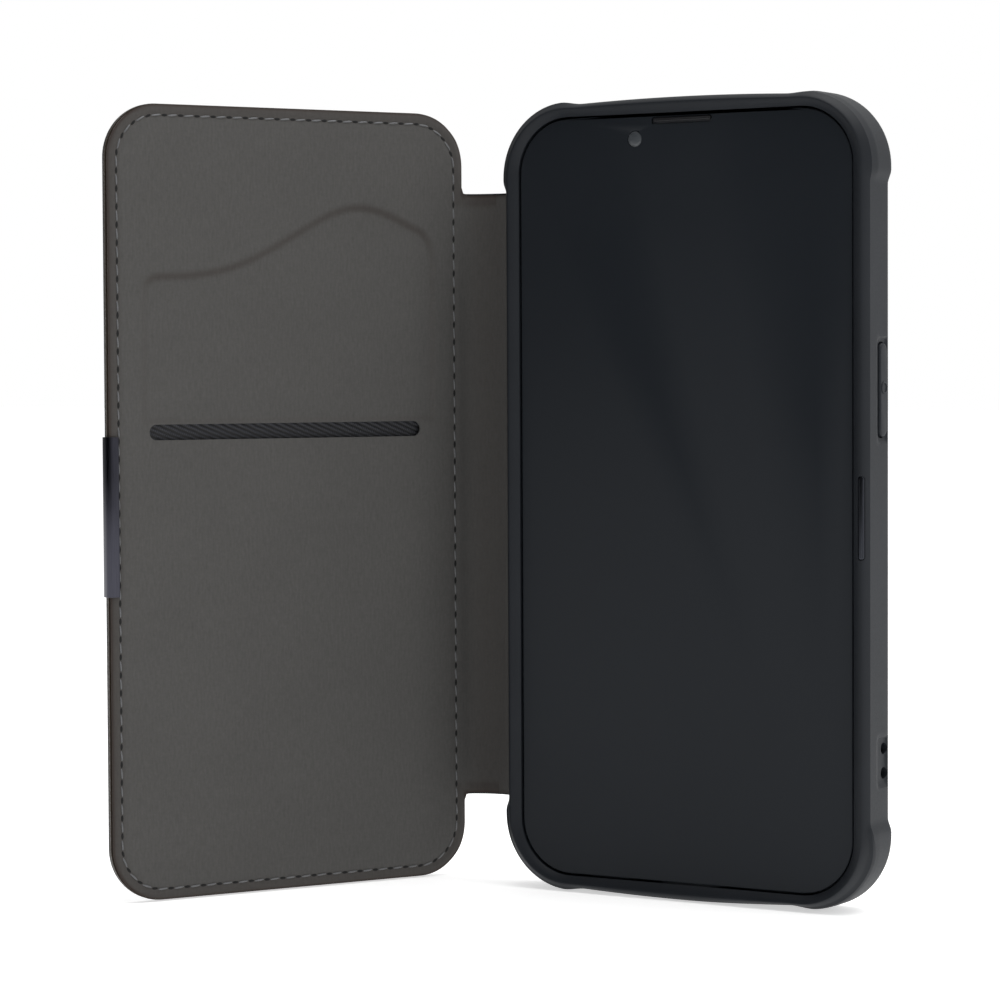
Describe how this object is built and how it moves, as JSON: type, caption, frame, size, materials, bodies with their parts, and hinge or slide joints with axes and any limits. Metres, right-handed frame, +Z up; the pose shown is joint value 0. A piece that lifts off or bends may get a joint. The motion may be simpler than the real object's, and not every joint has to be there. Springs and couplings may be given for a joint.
{
  "type": "phone wallet case",
  "caption": "Folding phone wallet case: moulded tray with raised corners, soft spine and suede-lined cover with a card slot, stitched edge and metal clasp.",
  "frame": {"origin": "middle of the bounding box's underside, on the surface the open case stands on", "axes": "+Z up along the tray and the fold lines, +X along the tray's width towards the power button, +Y from the screen towards the back panel"},
  "size_m": [0.134, 0.0728, 0.1527],
  "materials": {
    "tpu": "soft matte moulded elastomer",
    "bay_microfibre": "fine brushed microfibre",
    "stiffener_board": "pressed fibre stiffener",
    "leather": "fine pebbled coated leather",
    "lining_suede": "fine brushed suede cloth",
    "pocket_weave": "twill woven tape",
    "thread": "bonded polyester thread",
    "clasp_steel": "gunmetal plated",
    "magnet": "nickel plated",
    "handset_frame": "dark anodised",
    "screen_glass": "unlit satin dark screen",
    "grille": "fine dark mesh",
    "lens_glass": "coated dark lens",
    "flash_cover": "diffusing cover"
  },
  "bodies": {
    "tray": {"tray_shell": "tpu", "bay_lining": "bay_microfibre", "back_board": "stiffener_board", "back_skin": "leather", "camera_ring": "tpu", "closure_strip": "magnet"},
    "power_button": {"power_button": "tpu"},
    "volume_up_button": {"volume_up_button": "tpu"},
    "volume_down_button": {"volume_down_button": "tpu"},
    "spine": {"spine_skin": "leather", "spine_core": "stiffener_board", "spine_lining": "lining_suede"},
    "cover": {"cover_lining": "lining_suede", "pocket_frame": "stiffener_board", "cover_magnet": "magnet", "pocket_backing": "pocket_weave", "cover_board": "stiffener_board", "cover_skin": "leather", "seam_thread": "thread", "clasp": "clasp_steel"},
    "handset": {"handset_body": "handset_frame", "handset_glass": "screen_glass", "earpiece_grille": "grille", "front_lens": "lens_glass", "rear_camera_plate": "handset_frame", "rear_lens_upper": "lens_glass", "rear_lens_lower": "lens_glass", "rear_flash": "flash_cover"}
  },
  "joints": [
    {"name": "spine_fold", "type": "hinge", "parent": "tray", "child": "spine", "pos_m": [-0.01434, 0.03263, 0], "axis": [0, 0, 1], "range_deg": [-90, 105.2]},
    {"name": "cover_fold", "type": "hinge", "parent": "spine", "child": "cover", "pos_m": [-0.02844, 0.03263, 0], "axis": [0, 0, 1], "range_deg": [-151.5, 13.3]},
    {"name": "handset_slide", "type": "slide", "parent": "tray", "child": "handset", "axis": [0, 1, 0], "range_m": [-0.03, 0]},
    {"name": "power_press", "type": "slide", "parent": "tray", "child": "power_button", "axis": [-1, 0, 0], "range_m": [0, 0.0004], "stiffness_N_per_m": 1500},
    {"name": "volume_up_press", "type": "slide", "parent": "tray", "child": "volume_up_button", "axis": [1, 0, 0], "range_m": [0, 0.0004], "stiffness_N_per_m": 1500},
    {"name": "volume_down_press", "type": "slide", "parent": "tray", "child": "volume_down_button", "axis": [1, 0, 0], "range_m": [0, 0.0004], "stiffness_N_per_m": 1500}
  ]
}
